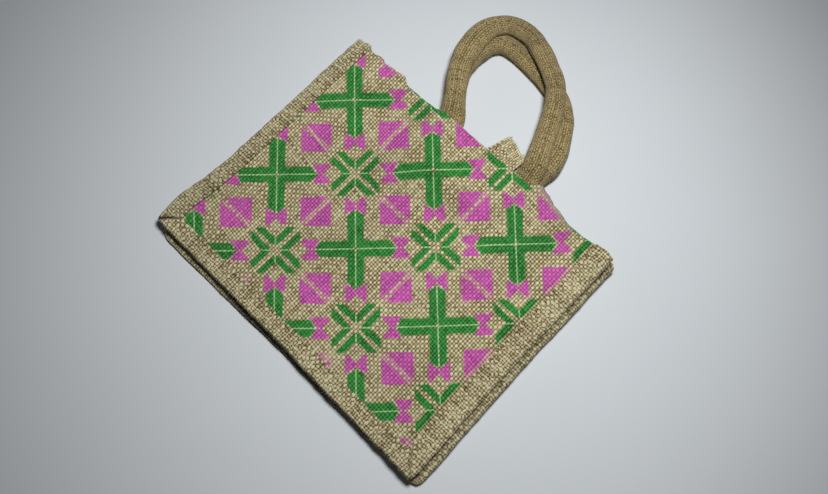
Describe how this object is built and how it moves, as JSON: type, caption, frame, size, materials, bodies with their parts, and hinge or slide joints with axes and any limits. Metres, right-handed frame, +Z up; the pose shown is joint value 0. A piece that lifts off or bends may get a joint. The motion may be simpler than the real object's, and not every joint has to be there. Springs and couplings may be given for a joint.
{
  "type": "burlap bag",
  "caption": "Flat-folded burlap shopping bag with a printed front, bound edges, side gussets folded in, soft padded handles laid above its open mouth, and a short tab between them.",
  "frame": {"origin": "on the surface that the bag lies on, below the middle of its outline with the handles", "axes": "+X across the bag to the right of its printed front, +Y from its foot to its mouth and handles, +Z up through the layers, out of the printed front"},
  "size_m": [0.3016, 0.3548, 0.0248],
  "materials": {
    "printed_burlap": "matt open plain-weave jute with a green and magenta screen print",
    "plain_burlap": "matt open plain-weave jute",
    "binding_burlap": "matt plain-weave jute, folded and stitched along the edges",
    "handle_jute": "matt tight-weave jute over a soft filling"
  },
  "bodies": {
    "root": {"front_panel": "printed_burlap", "back_panel": "plain_burlap", "gusset": "plain_burlap", "front_binding": "binding_burlap", "back_binding": "binding_burlap", "handle_front": "handle_jute", "handle_back": "handle_jute", "tab": "plain_burlap"}
  },
  "joints": []
}
